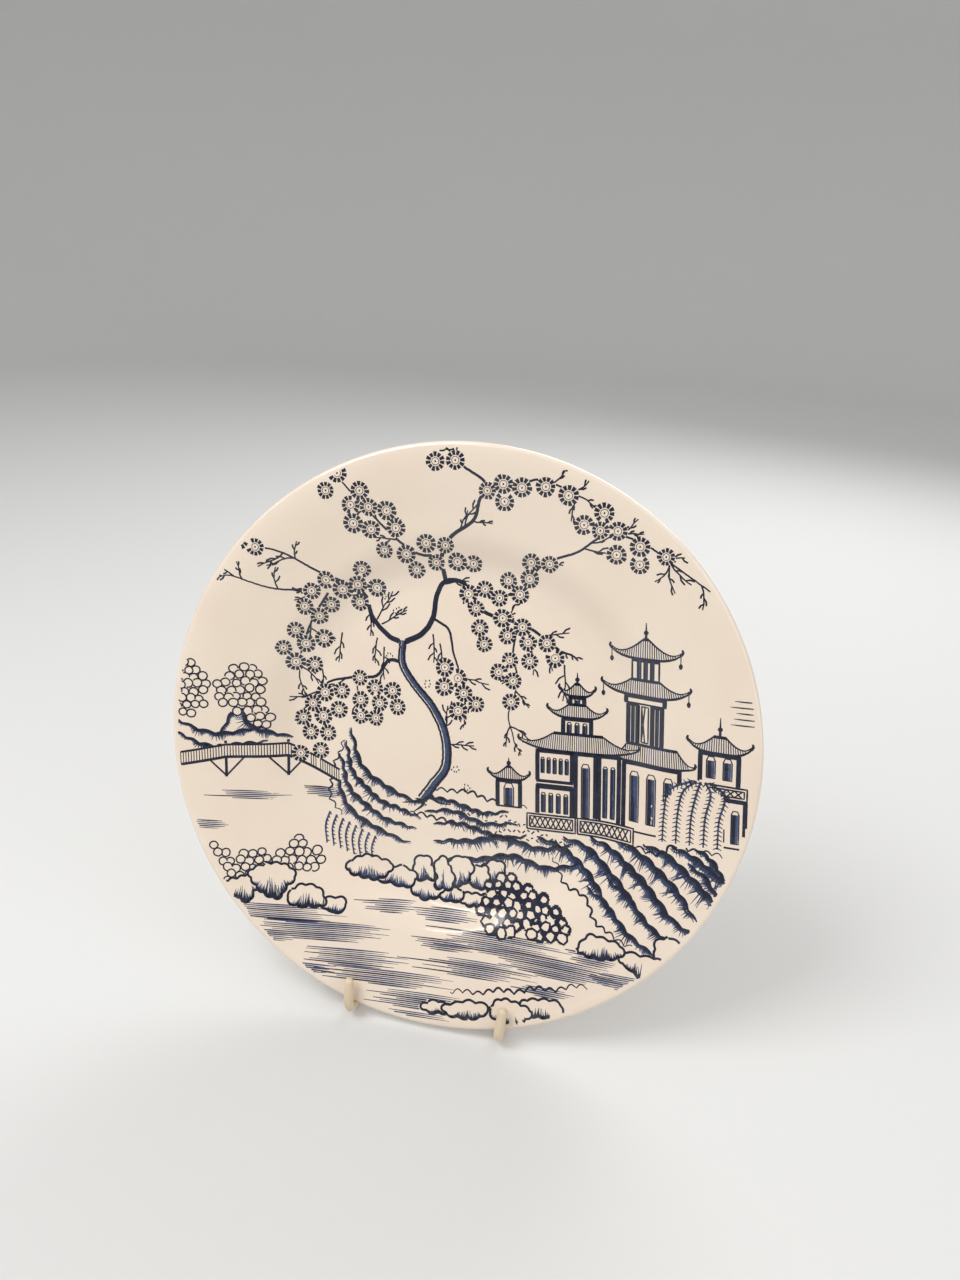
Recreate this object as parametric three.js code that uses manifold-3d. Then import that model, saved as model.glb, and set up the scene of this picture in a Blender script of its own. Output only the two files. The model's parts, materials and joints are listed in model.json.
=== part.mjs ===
// A folding wire stand for a display plate, with the plate on it. Millimetres; +X right seen from
// the front, +Y towards the back, +Z up. The front frame is one bent wire: two hooked prongs, two
// ledges that carry the rim, two front feet and two uprights joined by an arch. A strut hangs from
// a rail across the uprights.
import * as THREE from "three";
import { mergeVertices } from "three/addons/utils/BufferGeometryUtils.js";
import Module from "manifold-3d";

const degrees = THREE.MathUtils.degToRad;

// The plate. Radii are from its axis; depths are along the axis, towards the front.
const plateRadius = 127;
const plateLean = degrees(14.5); // back from the vertical
const rimHeight = 2.9; // lowest point of the rim above the table
const lipRadius = 1.8;
const well = { radius: 66, middle: -14, edge: -14.4, underside: -17.8 };
const footRing = { outer: 76, inner: 71.5, depth: -20, wall: -18, round: 1.2, corner: 0.8 };
const plateTurns = 64; // facets round the plate
const outlineSteps = 4; // points in each curve of its outline

// The wire: a steel core in a vinyl coat, with a little air between them.
const coreDiameter = 2.6;
const boreDiameter = 3.2;
const coatDiameter = 4.3;
const coreSides = 8;
const coatSides = 10;
const gap = 0.3; // between pieces that touch on the real object
const throughEnd = 1; // how far a bore runs out past a cut end
const tipTurns = 12; // facets of a prong's round tip
const tipRings = 8;
const bendStep = degrees(14); // largest turn between two sections of a bend

// The front frame
const hookSpacing = 67; // between the two ledges
const prongSplay = degrees(4.5); // outwards
const prongDepth = 6; // the prong's centreline in front of the lip's middle
const prongTop = -109.4; // tip of the prong, along the plate's face from its centre
const hookBend = 5.6;
const ledgeSlope = degrees(14); // down towards the back
const ledgeBend = 8;
const heelBend = 5;
const uprightLean = degrees(17.4);
const ringSpread = 4; // how much further out than the hooks the uprights pass the foot ring
const archHeight = 150;
const archHalfWidth = 45;
const archBend = 16;

// The hinge rail and the strut
const railHeight = 104;
const railHalfLength = 46;
const strutHalfWidth = 28;
const strutAngle = degrees(36); // between the open strut and the uprights
const strutCorner = 9;
const eyeRadius = 4.65; // centreline of the coiled eye
const eyePitch = 5; // how far one turn moves outwards
const eyeSections = 24;
const fingerBend = 3; // from the eye into the stop finger
const fingerReach = 45.5; // end of the stop finger from the middle

const wasm = await Module();
wasm.setup();

function solidOf(geometry) {
  geometry.deleteAttribute("normal");
  geometry.deleteAttribute("uv");
  const merged = mergeVertices(geometry, 1e-4);
  const triVerts = new Uint32Array(merged.index.array);
  const vertProperties = merged.attributes.position.array;
  return new wasm.Manifold(new wasm.Mesh({ numProp: 3, vertProperties, triVerts }));
}

function geometryOf(solid) {
  const { vertProperties, triVerts } = solid.getMesh();
  const geometry = new THREE.BufferGeometry();
  geometry.setAttribute("position", new THREE.BufferAttribute(vertProperties, 3));
  geometry.setIndex(new THREE.BufferAttribute(triVerts, 1));
  geometry.computeVertexNormals();
  return geometry;
}

// Side-view vectors: y runs back and z up, x is filled in later.
const side = (y, z) => new THREE.Vector2(y, z);
const along = (lean) => side(Math.sin(lean), Math.cos(lean)); // up a line that leans back
const behind = (lean) => side(Math.cos(lean), -Math.sin(lean)); // square to it, towards the back
const offset = (point, direction, distance) => point.clone().addScaledVector(direction, distance);

// Where two side-view lines meet, each given by a point and a direction.
function crossing(point, direction, otherPoint, otherDirection) {
  const between = otherPoint.clone().sub(point);
  return offset(point, direction, between.cross(otherDirection) / direction.cross(otherDirection));
}

const plateUp = along(plateLean);
const plateBack = behind(plateLean);
const plateCentre = side(plateRadius * Math.sin(plateLean), rimHeight + plateRadius * Math.cos(plateLean));

// A point given by its height up the plate's face and its depth in front of the plate's middle plane.
const onPlate = (height, depth) => offset(offset(plateCentre, plateUp, height), plateBack, -depth);

// One station of a wire is a point on its centreline with the wire's direction there.
// A run of straights and bends: each corner is [x, side-view point, bend radius].
function bentRun(corners) {
  const points = corners.map(([x, at]) => new THREE.Vector3(x, at.x, at.y));
  const directions = points.slice(1).map((point, i) => point.clone().sub(points[i]).normalize());
  const stations = [{ point: points[0], direction: directions[0] }];
  for (let i = 1; i < directions.length; i++) {
    const radius = corners[i][2];
    stations.push(...bend(points[i], directions[i - 1], directions[i], radius));
  }
  stations.push({ point: points.at(-1), direction: directions.at(-1) });
  return stations;
}

function bend(corner, from, to, radius) {
  const turn = from.angleTo(to);
  const axis = from.clone().cross(to).normalize();
  const start = corner.clone().addScaledVector(from, -radius * Math.tan(turn / 2));
  const centre = start.addScaledVector(axis.clone().cross(from), radius);
  const steps = Math.ceil(turn / bendStep);
  return Array.from({ length: steps + 1 }, (_, i) => {
    const direction = from.clone().applyAxisAngle(axis, (turn * i) / steps);
    return { point: centre.clone().addScaledVector(axis.clone().cross(direction), -radius), direction };
  });
}

// A wire that is the same left and right, from its right half, which starts in the middle.
function bothHalves(half) {
  const right = half.slice(1);
  const flip = ({ x, y, z }) => new THREE.Vector3(-x, y, z);
  const left = right.map(({ point, direction }) => ({
    point: flip(point),
    direction: flip(direction).negate(),
  }));
  return [...left.reverse(), ...right];
}

// The same wire with both ends cut back.
function cutBack(stations, length) {
  const moved = ({ point, direction }, by) => ({
    point: point.clone().addScaledVector(direction, by),
    direction,
  });
  return [moved(stations[0], length), ...stations.slice(1, -1), moved(stations.at(-1), -length)];
}

// A wire's centreline. A flat of its section faces straight down where the wire is lowest.
class WirePath extends THREE.Curve {
  constructor(stations) {
    super();
    this.stations = stations;
  }
  getUtoTmapping(u) {
    return u;
  }
  getPoint(t) {
    return this.stations[Math.round(t * (this.stations.length - 1))].point.clone();
  }
  computeFrenetFrames() {
    const tangents = this.stations.map(({ direction }) => direction);
    const heights = this.stations.map(({ point }) => point.z);
    const lowest = heights.indexOf(Math.min(...heights));
    const normals = [];
    normals[lowest] = new THREE.Vector3(0, 0, 1).projectOnPlane(tangents[lowest]).normalize();
    const carry = (from, to) => {
      const turn = new THREE.Quaternion().setFromUnitVectors(tangents[from], tangents[to]);
      normals[to] = normals[from].clone().applyQuaternion(turn);
    };
    for (let i = lowest; i < tangents.length - 1; i++) carry(i, i + 1);
    for (let i = lowest; i > 0; i--) carry(i, i - 1);
    const binormals = tangents.map((tangent, i) => tangent.clone().cross(normals[i]));
    return { tangents, normals, binormals };
  }
}

function wire(stations, diameter, sides) {
  const middle = new THREE.Vector2();
  const corner = (i) => {
    const turn = ((i + 0.5) * 2 * Math.PI) / sides; // a flat side down
    return new THREE.Vector2(diameter / 2, 0).rotateAround(middle, turn);
  };
  const section = new THREE.Shape(Array.from({ length: sides }, (_, i) => corner(i)));
  const extrudePath = new WirePath(stations);
  return new THREE.ExtrudeGeometry(section, { steps: stations.length - 1, extrudePath });
}

const core = (stations) => wire(stations, coreDiameter, coreSides);
const bore = (stations) => wire(stations, boreDiameter, coatSides);
const coat = (stations) => wire(stations, coatDiameter, coatSides);
const coatRadius = coatDiameter / 2;
const onTable = coatRadius * Math.cos(Math.PI / coatSides); // centreline of a wire lying on the table

// Front frame, seen from the side: the rim sits on the ledge, and the foot ring leans on the upright.
const hookX = hookSpacing / 2;
const heightAt = (radius, x) => -Math.sqrt(radius ** 2 - x ** 2);
const rimOverLedge = onPlate(heightAt(plateRadius - lipRadius, hookX), 0);
const rimSlope = Math.asin(hookX / plateRadius); // the rim rises outwards where it crosses the ledge
const ledgeDrop = (lipRadius + coatRadius + gap) / Math.cos(rimSlope);
const ledgeBack = behind(ledgeSlope);
const ledgePoint = offset(rimOverLedge, along(ledgeSlope), -ledgeDrop);
const prongPoint = onPlate(0, prongDepth);
const tableRun = side(1, 0);
const tablePoint = side(0, onTable);

const ringX = hookX + ringSpread;
const ringEdge = onPlate(heightAt(footRing.outer, ringX), footRing.depth);
const uprightUp = along(uprightLean);
const uprightBack = behind(uprightLean);
const uprightPoint = offset(ringEdge, uprightBack, coatRadius + gap);
const uprightAt = (z) => crossing(uprightPoint, uprightUp, side(0, z), tableRun);

const hookCorner = crossing(prongPoint, plateUp, ledgePoint, ledgeBack);
const ledgeEnd = crossing(ledgePoint, ledgeBack, tablePoint, tableRun);
const heel = crossing(uprightPoint, uprightUp, tablePoint, tableRun);
const prongEnd = onPlate(prongTop - coatRadius, prongDepth);
const prongX = hookX + prongEnd.distanceTo(hookCorner) * Math.tan(prongSplay);

const frameWire = bothHalves(
  bentRun([
    [0, uprightAt(archHeight)],
    [archHalfWidth, uprightAt(archHeight), archBend],
    [hookX, heel, heelBend],
    [hookX, ledgeEnd, ledgeBend],
    [hookX, hookCorner, hookBend],
    [prongX, prongEnd],
  ]),
);

// The rail lies across the back of the uprights, core to core.
const railAxis = offset(uprightAt(railHeight), uprightBack, coreDiameter + gap);
const railWire = bentRun([
  [-railHalfLength, railAxis],
  [railHalfLength, railAxis],
]);

// The strut is laid out round the rail: a leg up from the foot bar, one turn outwards round the rail,
// and a finger that runs out behind the upright and stops the strut from opening further.
const strutLean = uprightLean - strutAngle; // leans forwards as it rises
const strutUp = along(strutLean);
const strutBack = behind(strutLean);
const strutTop = offset(railAxis, strutBack, eyeRadius);
const strutFoot = crossing(strutTop, strutUp, tablePoint, tableRun);
const fingerAt = offset(strutTop, strutUp, fingerBend);

const eye = Array.from({ length: eyeSections - 1 }, (_, i) => {
  const share = (i + 1) / eyeSections;
  const lean = strutLean - share * 2 * Math.PI; // over the rail, down its front and back up behind it
  const at = offset(railAxis, behind(lean), eyeRadius);
  const x = strutHalfWidth + eyePitch * THREE.MathUtils.smoothstep(share, 0, 1);
  const sideways = (6 * share * (1 - share) * eyePitch) / (2 * Math.PI * eyeRadius);
  const forward = along(lean);
  return {
    point: new THREE.Vector3(x, at.x, at.y),
    direction: new THREE.Vector3(sideways, forward.x, forward.y).normalize(),
  };
});
const leg = bentRun([
  [0, strutFoot],
  [strutHalfWidth, strutFoot, strutCorner],
  [strutHalfWidth, strutTop],
]);
const finger = bentRun([
  [strutHalfWidth + eyePitch, strutTop],
  [strutHalfWidth + eyePitch, fingerAt, fingerBend],
  [fingerReach, fingerAt],
]);
const strutWire = bothHalves([...leg, ...eye, ...finger.slice(1)]);

function frameCoating() {
  const rods = solidOf(coat(frameWire)).add(solidOf(coat(railWire)));
  const tips = [frameWire[0].point, frameWire.at(-1).point].map(({ x, y, z }) => {
    const tip = new THREE.SphereGeometry(coatRadius, tipTurns, tipRings);
    return solidOf(tip.translate(x, y, z));
  });
  const skin = tips.reduce((solid, tip) => solid.add(tip), rods);
  const frameBore = solidOf(bore(frameWire));
  const railBore = solidOf(bore(cutBack(railWire, -throughEnd))); // open at the rail's cut ends
  return geometryOf(skin.subtract(frameBore).subtract(railBore));
}

function strutCoating() {
  const open = solidOf(bore(cutBack(strutWire, -throughEnd))); // open at the fingers' cut ends
  return geometryOf(solidOf(coat(strutWire)).subtract(open));
}

// Half of the plate's section, from the middle of its face out over the lip and back under it to
// the middle. The control points shape the flat well, the curved wall and the sloping rim.
function plateOutline() {
  const lipMiddle = plateRadius - lipRadius;
  const { outer, inner, depth, round, wall, corner } = footRing;
  const outline = new THREE.Path();
  outline.moveTo(0, well.middle);
  outline.lineTo(well.radius, well.edge);
  outline.bezierCurveTo(78, well.edge, 82, -8, 93, -5.6);
  outline.bezierCurveTo(103, -3.6, 114, 1.2, lipMiddle, lipRadius);
  outline.absarc(lipMiddle, 0, lipRadius, Math.PI / 2, -Math.PI / 2, true);
  outline.bezierCurveTo(114, -3.6, 103, -8, 92, -10.3);
  outline.bezierCurveTo(86, -11.8, 84, -17, outer + 1, wall);
  outline.lineTo(outer, depth + corner);
  outline.quadraticCurveTo(outer - 0.2, depth, outer - round, depth);
  outline.lineTo(inner + round, depth);
  outline.quadraticCurveTo(inner + 0.2, depth, inner, depth + corner);
  outline.lineTo(inner - corner, wall);
  outline.lineTo(0, well.underside);
  return outline.getPoints(outlineSteps).reverse(); // from the back, so that the faces point out
}

const stand = new THREE.Group();

function place(name, geometry, finish) {
  const mesh = new THREE.Mesh(geometry, new THREE.MeshStandardMaterial(finish));
  mesh.name = name;
  stand.add(mesh);
  return mesh;
}

const steel = { color: 0x9a9c9e, roughness: 0.35, metalness: 1 };
const vinyl = { color: 0xe4dcc4, roughness: 0.4 };
const glaze = { color: 0xf1ece2, roughness: 0.12 };
place("front_wire", core(cutBack(frameWire, gap)), steel);
place("hinge_rail", core(cutBack(railWire, gap)), steel);
place("front_coating", frameCoating(), vinyl);
place("strut_wire", core(cutBack(strutWire, gap)), steel);
place("strut_coating", strutCoating(), vinyl);
const plateSolid = new THREE.LatheGeometry(plateOutline(), plateTurns);
const plate = place("display_plate", plateSolid, glaze);
plate.rotation.x = Math.PI - plateLean;
plate.position.set(0, plateCentre.x, plateCentre.y);

// The origin is on the table, under the middle of the whole object.
const box = new THREE.Box3().setFromObject(stand, true);
stand.position.y = -(box.min.y + box.max.y) / 2;

export default stand;
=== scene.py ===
# A folding plate stand of vinyl-coated wire, and the glazed plate with a printed scene that it holds.
import json
import math
import random

import bpy
from mathutils import Matrix, Vector


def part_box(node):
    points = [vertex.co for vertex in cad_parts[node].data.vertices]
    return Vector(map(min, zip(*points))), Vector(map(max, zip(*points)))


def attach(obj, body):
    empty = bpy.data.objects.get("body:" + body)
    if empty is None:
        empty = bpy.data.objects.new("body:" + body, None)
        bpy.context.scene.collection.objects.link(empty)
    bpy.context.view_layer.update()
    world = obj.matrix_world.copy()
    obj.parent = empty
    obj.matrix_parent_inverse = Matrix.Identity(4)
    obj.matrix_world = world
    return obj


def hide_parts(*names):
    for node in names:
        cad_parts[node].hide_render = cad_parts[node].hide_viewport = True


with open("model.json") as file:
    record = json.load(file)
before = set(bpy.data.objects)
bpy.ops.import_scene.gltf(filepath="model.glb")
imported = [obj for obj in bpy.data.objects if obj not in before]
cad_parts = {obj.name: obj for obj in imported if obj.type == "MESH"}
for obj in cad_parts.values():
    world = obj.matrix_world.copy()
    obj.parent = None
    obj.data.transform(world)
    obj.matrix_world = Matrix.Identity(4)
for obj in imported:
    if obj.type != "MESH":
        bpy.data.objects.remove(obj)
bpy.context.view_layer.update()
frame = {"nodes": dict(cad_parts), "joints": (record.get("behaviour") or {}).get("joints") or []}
joints = {joint["name"]: joint for joint in frame["joints"]}
print("frame loaded:", ", ".join(frame["nodes"]))

mm = 0.001


def startFresh():
    if bpy.context.object and bpy.context.object.mode != "OBJECT":
        bpy.ops.object.mode_set(mode="OBJECT")
    bpy.ops.object.select_all(action="DESELECT")


def pick(obj):
    startFresh()
    obj.select_set(True)
    bpy.context.view_layer.objects.active = obj


def edit(obj):
    pick(obj)
    bpy.ops.object.mode_set(mode="EDIT")
    bpy.ops.mesh.select_mode(type="VERT")
    bpy.ops.mesh.select_all(action="SELECT")


def applyPlace(obj):
    pick(obj)
    bpy.ops.object.transform_apply(location=True, rotation=True, scale=True)


def tidyShell(obj, creaseDegrees):
    edit(obj)
    bpy.ops.mesh.remove_doubles(threshold=0.002 * mm)
    bpy.ops.mesh.normals_make_consistent(inside=False)
    pick(obj)
    bpy.ops.object.shade_smooth_by_angle(angle=math.radians(creaseDegrees))


def combine(obj, other, operation):
    modifier = obj.modifiers.new("combine", "BOOLEAN")
    modifier.object = other
    modifier.operation = operation
    modifier.solver = "EXACT"
    pick(obj)
    bpy.ops.object.modifier_apply(modifier=modifier.name)
    bpy.data.objects.remove(other)


# side view of the stand: points are (y, z), and a lean is back from the vertical
def up(lean):
    return Vector((math.sin(lean), math.cos(lean)))


def back(lean):
    return Vector((math.cos(lean), -math.sin(lean)))


def crossing(point, direction, other, otherDirection):
    between = other - point
    share = between.cross(otherDirection) / direction.cross(otherDirection)
    return point + direction * share


def at(x, sidePoint):
    return Vector((x, sidePoint.x, sidePoint.y))


plate = dict(
    lipRadius=1.8 * mm,
    ringOuter=76 * mm, ringInner=71.5 * mm, ringDepth=-20 * mm,
    turns=288,
    curveSteps=14,
)
wire = dict(
    core=2.6 * mm, bore=3.2 * mm, coat=4.3 * mm,
    gap=0.3 * mm,
    sides=32,
    bendStep=math.radians(4),
)
plateLow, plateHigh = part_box("display_plate")
plateAxis = Vector(joints["plate_lift"]["axis"])
plateLean = math.atan2(plateAxis.y, plateAxis.z)
plateRadius = plateHigh.x
lipCircle = plateRadius - plate["lipRadius"]
plateCentre = Vector((
    plateLow.y + lipCircle * math.sin(plateLean) + plate["lipRadius"],
    (plateLow.z + plateHigh.z) / 2,
))
plateUp, plateBack = up(plateLean), back(plateLean)


def onPlate(height, depth):
    return plateCentre + plateUp * height - plateBack * depth


class WireBender:
    # a circle is pushed along the wire: straight runs are extruded and bends are spun
    def __init__(self, name, start, heading, diameter):
        startFresh()
        turned = heading.to_track_quat("Z", "Y").to_euler()
        bpy.ops.mesh.primitive_circle_add(
            vertices=wire["sides"], radius=diameter / 2, fill_type="NOTHING",
            location=start, rotation=turned)
        self.body = bpy.context.object
        self.body.name = name
        self.radius = diameter / 2
        self.here, self.heading = start.copy(), heading.normalized()
        self.start, self.startHeading = start.copy(), heading.normalized()
        applyPlace(self.body)
        edit(self.body)

    def goTo(self, point):
        bpy.ops.mesh.extrude_region_move(TRANSFORM_OT_translate={"value": point - self.here})
        self.here = point.copy()

    def goRound(self, corner, heading, bendRadius):
        turn = self.heading.angle(heading)
        axis = self.heading.cross(heading).normalized()
        reach = bendRadius * math.tan(turn / 2)
        self.goTo(corner - self.heading * reach)
        centre = self.here + axis.cross(self.heading) * bendRadius
        steps = math.ceil(turn / wire["bendStep"])
        bpy.ops.mesh.spin(steps=steps, angle=-turn, center=centre, axis=axis)
        self.here, self.heading = corner + heading * reach, heading.normalized()

    def coil(self, centre, shift, steps):
        # one whole turn round centre, moved sideways by shift with an easy start and end
        axis = (self.here - centre).cross(self.heading).normalized()
        moved = 0
        for step in range(1, steps + 1):
            share = step / steps
            eased = share * share * (3 - 2 * share)
            bpy.ops.mesh.spin(steps=1, angle=-math.tau / steps, center=centre, axis=axis)
            bpy.ops.transform.translate(value=shift * (eased - moved))
            moved = eased
        self.here = self.here + shift

    def roundEnd(self, heading, centre):
        rings = 8
        for ring in range(1, rings + 1):
            before, now = (math.pi / 2 * (ring - k) / rings for k in (1, 0))
            step = heading * self.radius * (math.sin(now) - math.sin(before))
            bpy.ops.mesh.extrude_region_move(TRANSFORM_OT_translate={"value": step})
            centre = centre + step
            shrink = math.cos(now) / math.cos(before) if ring < rings else 0.02
            bpy.ops.transform.resize(value=(shrink,) * 3, center_override=centre)
        bpy.ops.mesh.edge_face_add()

    def closed(self, rounded):
        if rounded:
            self.roundEnd(self.heading, self.here)
        else:
            bpy.ops.mesh.edge_face_add()
        bpy.ops.mesh.select_all(action="DESELECT")
        bpy.ops.mesh.select_non_manifold(
            use_wire=False, use_multi_face=False, use_non_contiguous=False, use_verts=False)
        if rounded:
            self.roundEnd(-self.startHeading, self.start)
        else:
            bpy.ops.mesh.edge_face_add()
        tidyShell(self.body, 50)
        return self.body


def throughCorners(name, corners, diameter, rounded=False, cutBack=0):
    # corners are (point, bend radius); the first and last have no bend
    points = [corner[0] for corner in corners]
    headings = [(b - a).normalized() for a, b in zip(points, points[1:])]
    bender = WireBender(name, points[0] + headings[0] * cutBack, headings[0], diameter)
    for corner, heading in zip(corners[1:-1], headings[1:]):
        bender.goRound(corner[0], heading, corner[1])
    bender.goTo(points[-1] - headings[-1] * cutBack)
    return bender.closed(rounded)


front = dict(
    hookX=33.5 * mm,
    prongSplay=math.radians(4.5), prongDepth=6 * mm, prongTop=-109.4 * mm,
    hookBend=5.6 * mm, ledgeBend=8 * mm, heelBend=5 * mm, archBend=16 * mm,
    ledgeSlope=math.radians(14),
    uprightLean=math.radians(17.4),
    archHeight=150 * mm, archHalfWidth=45 * mm,
    railHalfLength=46 * mm,
)


def frameCorners():
    coatRadius = wire["coat"] / 2
    onTable = Vector((0, coatRadius))
    flat = Vector((1, 0))
    hookX = front["hookX"]
    rim = onPlate(-math.sqrt(lipCircle ** 2 - hookX ** 2), 0)
    drop = (plate["lipRadius"] + coatRadius + wire["gap"]) / math.cos(math.asin(hookX / plateRadius))
    ledge = rim - up(front["ledgeSlope"]) * drop
    ledgeHeading = back(front["ledgeSlope"])
    rail = Vector(joints["strut_fold"]["pos_m"][1:])
    upright = rail - back(front["uprightLean"]) * (wire["core"] + wire["gap"])
    uprightHeading = up(front["uprightLean"])
    hook = crossing(onPlate(0, front["prongDepth"]), plateUp, ledge, ledgeHeading)
    ledgeEnd = crossing(ledge, ledgeHeading, onTable, flat)
    heel = crossing(upright, uprightHeading, onTable, flat)
    arch = crossing(upright, uprightHeading, Vector((0, front["archHeight"])), flat)
    prong = onPlate(front["prongTop"] - coatRadius, front["prongDepth"])
    prongX = hookX + (prong - hook).length * math.tan(front["prongSplay"])
    rightHalf = [
        (at(front["archHalfWidth"], arch), front["archBend"]),
        (at(hookX, heel), front["heelBend"]),
        (at(hookX, ledgeEnd), front["ledgeBend"]),
        (at(hookX, hook), front["hookBend"]),
        (at(prongX, prong), 0),
    ]
    leftHalf = [(Vector((-point.x, point.y, point.z)), bend) for point, bend in rightHalf]
    return leftHalf[::-1] + rightHalf


corners = frameCorners()
railY, railZ = joints["strut_fold"]["pos_m"][1:]
railEnds = [(Vector((side * front["railHalfLength"], railY, railZ)), 0) for side in (-1, 1)]
frameCoating = throughCorners("frameCoating", corners, wire["coat"], rounded=True)
combine(frameCoating, throughCorners("railCoating", railEnds, wire["coat"]), "UNION")
combine(frameCoating, throughCorners("frameBore", corners, wire["bore"]), "DIFFERENCE")
combine(frameCoating, throughCorners("railBore", railEnds, wire["bore"], cutBack=-mm), "DIFFERENCE")
tidyShell(frameCoating, 50)
frameCore = throughCorners("frameCore", corners, wire["core"], cutBack=wire["gap"])
railCore = throughCorners("railCore", railEnds, wire["core"], cutBack=wire["gap"])
print("front frame bent and coated:", len(frameCoating.data.polygons), "faces")

strut = dict(
    halfWidth=28 * mm, angle=math.radians(36), footBend=9 * mm,
    eyeRadius=4.65 * mm, eyePitch=5 * mm, eyeSteps=48,
    fingerBend=3 * mm, fingerReach=45.5 * mm,
)


def bendStrut(name, diameter, cutBack):
    lean = front["uprightLean"] - strut["angle"]
    rail = Vector((railY, railZ))
    top = rail + back(lean) * strut["eyeRadius"]
    foot = crossing(top, up(lean), Vector((0, wire["coat"] / 2)), Vector((1, 0)))
    finger = top + up(lean) * strut["fingerBend"]
    rising, across = at(0, up(lean)), Vector((-1, 0, 0))
    eyeX, legX = strut["halfWidth"] + strut["eyePitch"], strut["halfWidth"]
    bender = WireBender(name, at(strut["fingerReach"] - cutBack, finger), across, diameter)
    bender.goRound(at(eyeX, finger), -rising, strut["fingerBend"])
    bender.coil(at(eyeX, rail), across * strut["eyePitch"], strut["eyeSteps"])
    bender.goRound(at(legX, foot), across, strut["footBend"])
    bender.goRound(at(-legX, foot), rising, strut["footBend"])
    bender.goTo(at(-legX, top))
    bender.coil(at(-legX, rail), across * strut["eyePitch"], strut["eyeSteps"])
    bender.goRound(at(-eyeX, finger), across, strut["fingerBend"])
    bender.goTo(at(cutBack - strut["fingerReach"], finger))
    return bender.closed(rounded=False)


strutCoating = bendStrut("strutCoating", wire["coat"], 0)
combine(strutCoating, bendStrut("strutBore", wire["bore"], -mm), "DIFFERENCE")
tidyShell(strutCoating, 50)
strutCore = bendStrut("strutCore", wire["core"], wire["gap"])
print("strut bent and coated:", len(strutCoating.data.polygons), "faces")


def curve(a, b, c, d, steps):
    # points of a cubic curve after its start
    points = []
    for step in range(steps):
        t = (step + 1) / steps
        near = a * (1 - t) ** 3 + b * 3 * t * (1 - t) ** 2
        points.append(near + c * 3 * t * t * (1 - t) + d * t ** 3)
    return points


def pointOf(radius, depth):
    return Vector((radius * mm, depth * mm))


def faceOutline():
    # (radius, depth) from the middle of the face out to the lip
    steps = plate["curveSteps"]
    outline = [pointOf(0, -14), pointOf(30, -14.1), pointOf(66, -14.4)]
    outline += curve(outline[-1], pointOf(78, -14.4), pointOf(82, -8), pointOf(93, -5.6), steps)
    lipTop = Vector((lipCircle, plate["lipRadius"]))
    outline += curve(outline[-1], pointOf(103, -3.6), pointOf(114, 1.2), lipTop, steps)
    return outline


def backOutline():
    steps = plate["curveSteps"]
    outer, inner, depth = (plate[key] / mm for key in ("ringOuter", "ringInner", "ringDepth"))
    lip = Vector((lipCircle, 0))
    turns = [math.pi / 2 - math.pi * (step + 1) / steps for step in range(steps)]
    outline = [lip + Vector((math.cos(turn), math.sin(turn))) * plate["lipRadius"] for turn in turns]
    outline += curve(outline[-1], pointOf(114, -3.6), pointOf(103, -8), pointOf(92, -10.3), steps)
    outline += curve(outline[-1], pointOf(86, -11.8), pointOf(84, -17), pointOf(outer + 1, -18), steps)
    rounded = ((0, 0.8), (0.35, 0.2), (1.2, 0))    # the ring's edge: in from its side, and above its foot
    outline += [pointOf(outer - away, depth + rise) for away, rise in rounded]
    outline += [pointOf(inner + away, depth + rise) for away, rise in rounded[::-1]]
    outline += [pointOf(inner - 0.3, -18.3), pointOf(inner - 1.2, -18)]
    outline += [pointOf(40, -17.9), pointOf(0, -17.8)]
    return outline


def turnPlate():
    outline = faceOutline() + backOutline()
    startFresh()
    bpy.ops.mesh.primitive_plane_add(size=mm)
    turned = bpy.context.object
    turned.name = "glazedPlate"
    edit(turned)
    bpy.ops.mesh.merge(type="CENTER")
    bpy.ops.transform.translate(value=Vector((outline[0].x, 0, outline[0].y)))
    for before, now in zip(outline, outline[1:]):
        step = Vector((now.x - before.x, 0, now.y - before.y))
        bpy.ops.mesh.extrude_region_move(TRANSFORM_OT_translate={"value": step})
    bpy.ops.mesh.select_all(action="SELECT")
    bpy.ops.mesh.spin(steps=plate["turns"], angle=math.tau, center=(0, 0, 0), axis=(0, 0, 1))
    tidyShell(turned, 35)
    return turned


def plateMatrix():
    # the plate is made flat, face up, and then stood up
    stoodUp = Matrix.Rotation(math.pi / 2 - plateLean, 4, "X")
    return Matrix.Translation(at(0, plateCentre)) @ stoodUp


glazedPlate = turnPlate()
print("plate turned:", len(glazedPlate.data.polygons), "faces")


# the printed scene is drawn flat, in millimetres from the plate's middle, nearest things first
pen = random.Random(12)
press = dict(
    edge=124.3,            # the ink stops short of the lip
    straightRun=2.2,       # longest stretch that still follows the hollow of the plate
    leastTurn=0.16,        # bends and swellings smaller than these get no point of their own
    leastSwell=0.1,
    weight=1.3,            # how heavily the lines print
    turned=math.radians(6.2),
    cell=8,                # size of the squares that covering outlines are filed under
    drawnAt=5 * mm,        # height above the plate that the ink is drawn at, then dropped from
    layers=(("navyPrint", 0.10 * mm), ("bluePrint", 0.07 * mm)),
)
coverCells = {}


def dots(*pairs):
    return [Vector(pair) for pair in pairs]


def toward(angle, length=1.0):
    return Vector((math.cos(angle), math.sin(angle))) * length


def cover(outline):
    # what is drawn later passes behind this outline
    cell = press["cell"]
    columns, rows = ([int(point[axis] // cell) for point in outline] for axis in (0, 1))
    for column in range(min(columns), max(columns) + 1):
        for row in range(min(rows), max(rows) + 1):
            coverCells.setdefault((column, row), []).append(outline)


def inside(outline, point):
    odd = False
    for a, b in zip(outline, outline[1:] + outline[:1]):
        if (a.y > point.y) != (b.y > point.y):
            if point.x < a.x + (b.x - a.x) * (point.y - a.y) / (b.y - a.y):
                odd = not odd
    return odd


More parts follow.
